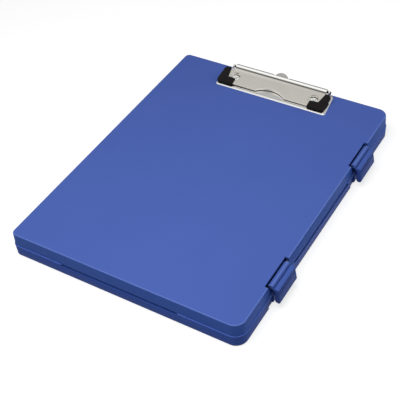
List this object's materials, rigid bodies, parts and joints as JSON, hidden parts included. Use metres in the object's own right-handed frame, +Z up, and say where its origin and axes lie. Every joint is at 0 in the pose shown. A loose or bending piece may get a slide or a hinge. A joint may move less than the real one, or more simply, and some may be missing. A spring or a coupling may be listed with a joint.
{
  "type": "storage clipboard box",
  "caption": "Shallow hinged storage case whose flat lid is a clipboard, with a sprung paper clip, side latches and finger slots.",
  "frame": {"origin": "centre of the case's underside, on the surface it rests on", "axes": "+X to the latch side, +Y to the end with the clip, +Z up out of the lid"},
  "size_m": [0.2556, 0.3112, 0.0373],
  "materials": {
    "case_plastic": "fine matte grain, moulded through in blue",
    "nickel_plate": "satin nickel plate",
    "pin_steel": "plain drawn steel",
    "grip_rubber": "matte black"
  },
  "bodies": {
    "base": {"base_tray": "case_plastic", "hinge_pin_front": "pin_steel", "hinge_pin_rear": "pin_steel"},
    "lid": {"lid_shell": "case_plastic", "latch_pin_front": "pin_steel", "latch_pin_rear": "pin_steel", "clip_base_plate": "nickel_plate", "clip_hinge_rod": "nickel_plate", "clip_spring_left": "pin_steel", "clip_spring_right": "pin_steel", "rivet_left": "nickel_plate", "rivet_right": "nickel_plate", "rivet_washer_left": "nickel_plate", "rivet_washer_right": "nickel_plate"},
    "front_latch": {"latch_front": "case_plastic"},
    "rear_latch": {"latch_rear": "case_plastic"},
    "clip_jaw": {"clip_flap": "nickel_plate", "clip_grip_left": "grip_rubber", "clip_grip_right": "grip_rubber"},
    "tab": {"hanging_tab": "nickel_plate"}
  },
  "joints": [
    {"name": "lid_hinge", "type": "hinge", "parent": "base", "child": "lid", "pos_m": [-0.1238, 0, 0.0132], "axis": [0, -1, 0], "range_deg": [0, 165]},
    {"name": "front_latch_hinge", "type": "hinge", "parent": "lid", "child": "front_latch", "pos_m": [0.1186, -0.087, 0.0246], "axis": [0, -1, 0], "range_deg": [0, 98]},
    {"name": "rear_latch_hinge", "type": "hinge", "parent": "lid", "child": "rear_latch", "pos_m": [0.1186, 0.081, 0.0246], "axis": [0, -1, 0], "range_deg": [0, 98]},
    {"name": "clip_jaw_hinge", "type": "hinge", "parent": "lid", "child": "clip_jaw", "pos_m": [0, 0.1499, 0.0324], "axis": [-1, 0, 0], "range_deg": [0, 30], "stiffness_Nm_per_rad": 0.3, "springref_deg": -51.57},
    {"name": "hanging_tab_hinge", "type": "hinge", "parent": "lid", "child": "tab", "pos_m": [0, 0.1499, 0.0324], "axis": [-1, 0, 0], "range_deg": [0, 45]}
  ]
}
